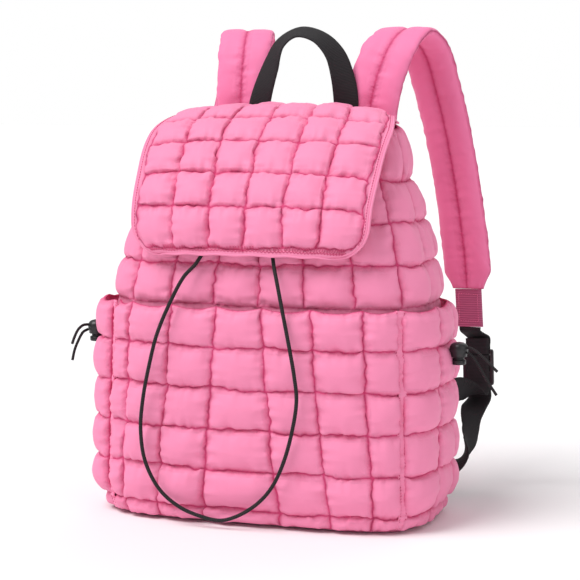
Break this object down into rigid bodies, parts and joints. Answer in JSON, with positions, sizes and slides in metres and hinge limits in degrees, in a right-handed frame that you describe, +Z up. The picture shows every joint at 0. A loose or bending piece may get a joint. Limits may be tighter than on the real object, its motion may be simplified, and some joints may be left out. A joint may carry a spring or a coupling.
{
  "type": "quilted puffer backpack",
  "caption": "Soft bucket backpack in quilted puffy cloth with a lid flap, pockets, padded straps, webbing handle, drawcord and sprung cord locks.",
  "frame": {"origin": "centre of the flat base that stands on the floor, on the body's middle line", "axes": "+X to the right as seen from the front, +Y towards the back panel and the straps, +Z up"},
  "size_m": [0.4265, 0.3038, 0.4793],
  "materials": {
    "pink_cloth": "soft quilted cloth",
    "pink_webbing": "ribbed webbing",
    "black_webbing": "ribbed webbing",
    "black_cord": "braided cord",
    "black_plastic": "satin",
    "pink_plastic": "satin"
  },
  "bodies": {
    "bag": {"bag_shell": "pink_cloth", "front_pocket": "pink_cloth", "side_pocket_right": "pink_cloth", "side_pocket_left": "pink_cloth", "flap": "pink_cloth", "haul_handle": "black_webbing", "drawcord": "black_cord", "shoulder_strap_left": "pink_cloth", "strap_tab_left": "pink_webbing", "upper_webbing_left": "black_webbing", "strap_slider_left": "black_plastic", "lower_webbing_left": "black_webbing", "drawcord_eyelet_left": "black_plastic", "side_snap_left": "pink_plastic", "cord_lock_barrel_left": "black_plastic", "pocket_cord_left_upper": "black_cord", "pocket_cord_left_lower": "black_cord", "shoulder_strap_right": "pink_cloth", "strap_tab_right": "pink_webbing", "upper_webbing_right": "black_webbing", "strap_slider_right": "black_plastic", "lower_webbing_right": "black_webbing", "drawcord_eyelet_right": "black_plastic", "side_snap_right": "pink_plastic", "cord_lock_barrel_right": "black_plastic", "pocket_cord_right_upper": "black_cord", "pocket_cord_right_lower": "black_cord"},
    "plunger_left": {"cord_lock_plunger_left": "black_plastic"},
    "plunger_right": {"cord_lock_plunger_right": "black_plastic"}
  },
  "joints": [
    {"name": "lock_press_left", "type": "slide", "parent": "bag", "child": "plunger_left", "axis": [0, 0, 1], "range_m": [0, 0.0025], "stiffness_N_per_m": 250},
    {"name": "lock_press_right", "type": "slide", "parent": "bag", "child": "plunger_right", "axis": [0, 0, 1], "range_m": [0, 0.0025], "stiffness_N_per_m": 250}
  ]
}
